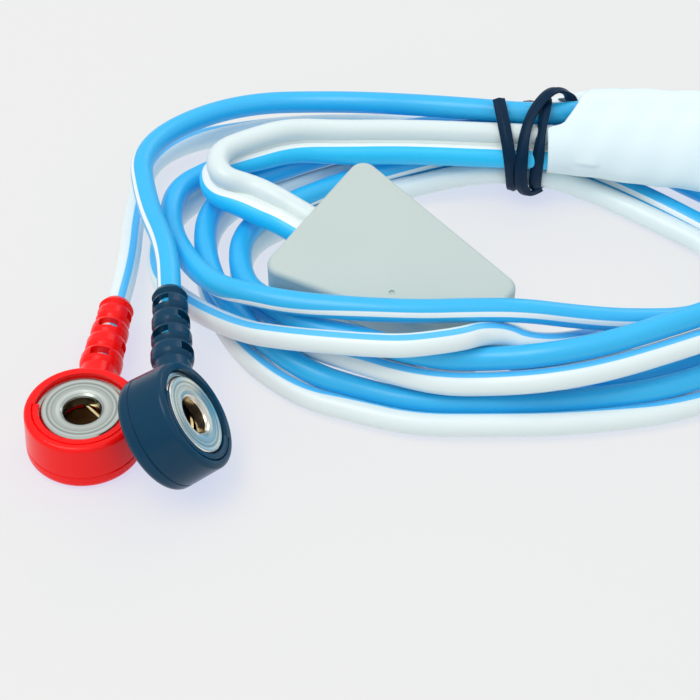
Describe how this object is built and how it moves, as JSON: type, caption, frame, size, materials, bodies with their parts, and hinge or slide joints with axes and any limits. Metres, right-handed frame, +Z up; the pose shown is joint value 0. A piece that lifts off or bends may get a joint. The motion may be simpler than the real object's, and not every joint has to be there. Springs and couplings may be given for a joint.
{
  "type": "ecg snap lead set",
  "caption": "Coiled twin-core ECG patient cable with a flat in-line yoke, moulded snap connectors on split leads, a twist tie, a paper band and a jack plug.",
  "frame": {"origin": "on the table, under the middle of the box round the yoke and the snap connectors", "axes": "+Z up, +Y along the snap boots, away from the snap faces, +X from the snaps towards the plug"},
  "size_m": [0.124, 0.0658, 0.0138],
  "materials": {
    "grey_plastic": "satin",
    "board": "satin",
    "resistor": "gloss",
    "tinned_brass": "satin",
    "clamp_plastic": "satin",
    "red_vinyl": "satin",
    "black_vinyl": "satin",
    "stamped_steel": "polished",
    "drawn_brass": "satin",
    "spring_brass": "polished",
    "blue_vinyl": "satin",
    "white_vinyl": "satin",
    "tie_black": "satin",
    "thin_paper": "matte",
    "plug_black": "satin",
    "plug_insulator": "satin",
    "plug_metal": "polished"
  },
  "bodies": {
    "lead_set": {"black_base_cap": "black_vinyl", "black_crimp_terminal": "tinned_brass", "black_lead": "blue_vinyl", "black_snap_housing": "black_vinyl", "black_snap_socket": "stamped_steel", "black_stud_cup": "drawn_brass", "coil_blue_core": "blue_vinyl", "coil_clamp": "clamp_plastic", "coil_white_core": "white_vinyl", "paper_band": "thin_paper", "plug_grip": "plug_black", "plug_insulator": "plug_insulator", "plug_sleeve": "plug_metal", "plug_tip": "plug_metal", "red_base_cap": "red_vinyl", "red_crimp_terminal": "tinned_brass", "red_lead": "white_vinyl", "red_snap_housing": "red_vinyl", "red_snap_socket": "stamped_steel", "red_stud_cup": "drawn_brass", "series_resistors": "resistor", "solder_terminals": "tinned_brass", "trunk_blue_core": "blue_vinyl", "trunk_clamp": "clamp_plastic", "trunk_white_core": "white_vinyl", "twist_tie": "tie_black", "yoke_circuit_board": "board", "yoke_lower_shell": "grey_plastic", "yoke_upper_shell": "grey_plastic"},
    "red_left_wire": {"red_spring_wire_left": "spring_brass"},
    "red_right_wire": {"red_spring_wire_right": "spring_brass"},
    "black_left_wire": {"black_spring_wire_left": "spring_brass"},
    "black_right_wire": {"black_spring_wire_right": "spring_brass"}
  },
  "joints": [
    {"name": "red_left_spread", "type": "slide", "parent": "lead_set", "child": "red_left_wire", "axis": [-0.7515, -0.6597, 0], "range_m": [0, 0.0005], "stiffness_N_per_m": 300},
    {"name": "red_right_spread", "type": "slide", "parent": "lead_set", "child": "red_right_wire", "axis": [0.7515, 0.6597, 0], "range_m": [0, 0.0005], "stiffness_N_per_m": 300},
    {"name": "black_left_spread", "type": "slide", "parent": "lead_set", "child": "black_left_wire", "axis": [-0.5734, -0.1047, 0.8125], "range_m": [0, 0.0005], "stiffness_N_per_m": 300},
    {"name": "black_right_spread", "type": "slide", "parent": "lead_set", "child": "black_right_wire", "axis": [0.5734, 0.1047, -0.8125], "range_m": [0, 0.0005], "stiffness_N_per_m": 300}
  ],
  "couplings": [
    {"joint": "red_right_spread", "follows": "red_left_spread", "ratio": 1},
    {"joint": "black_right_spread", "follows": "black_left_spread", "ratio": 1}
  ]
}
